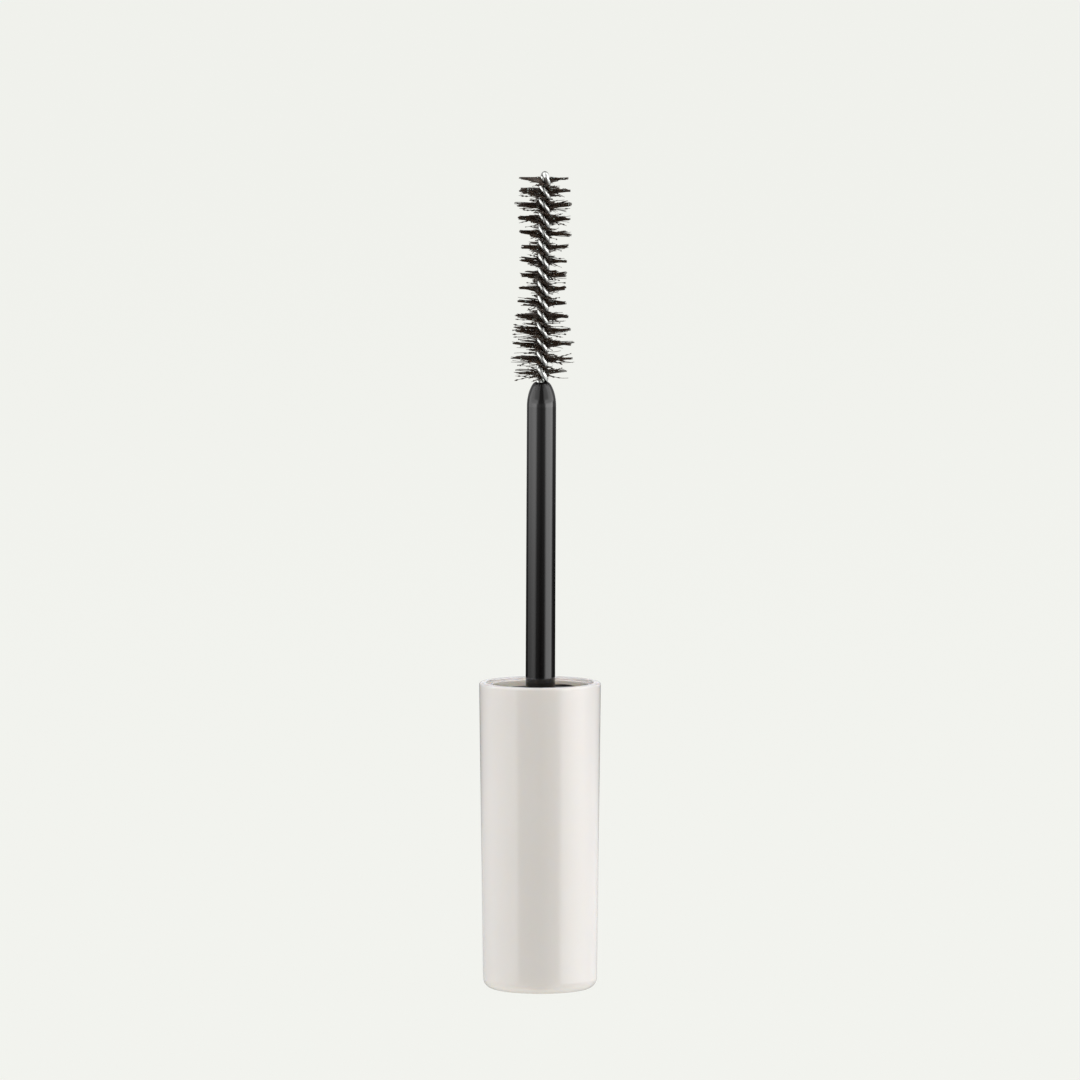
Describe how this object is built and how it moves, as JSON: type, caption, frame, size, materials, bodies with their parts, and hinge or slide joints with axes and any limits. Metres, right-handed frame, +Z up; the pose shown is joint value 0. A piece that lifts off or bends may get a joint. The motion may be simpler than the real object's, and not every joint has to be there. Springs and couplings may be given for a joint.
{
  "type": "mascara wand with cap",
  "caption": "Round tapered screw cap standing on its closed end, with a slim stem and a twisted-wire brush of waisted profile rising from its mouth.",
  "frame": {"origin": "centre of the cap's closed end, on the surface that it stands on", "axes": "+Z up the wand's axis, from the closed end through the mouth to the brush's tip; -Y is the wand's front"},
  "size_m": [0.016, 0.016, 0.1077],
  "materials": {
    "cap_white": "polished mould, high gloss",
    "moulded_black": "satin gloss",
    "washer_foam": "closed-cell foam",
    "wire_steel": "drawn bright wire",
    "bristle_nylon": "nylon fibre with a thin coat of mascara"
  },
  "bodies": {
    "root": {"outer_cap": "cap_white", "thread_insert": "moulded_black", "sealing_washer": "washer_foam", "stem": "moulded_black", "brush_wire": "wire_steel", "bristle_row_01": "bristle_nylon", "bristle_row_02": "bristle_nylon", "bristle_row_03": "bristle_nylon", "bristle_row_04": "bristle_nylon", "bristle_row_05": "bristle_nylon", "bristle_row_06": "bristle_nylon", "bristle_row_07": "bristle_nylon", "bristle_row_08": "bristle_nylon", "bristle_row_09": "bristle_nylon", "bristle_row_10": "bristle_nylon", "bristle_row_11": "bristle_nylon", "bristle_row_12": "bristle_nylon", "bristle_row_13": "bristle_nylon", "bristle_row_14": "bristle_nylon", "bristle_row_15": "bristle_nylon"}
  },
  "joints": []
}
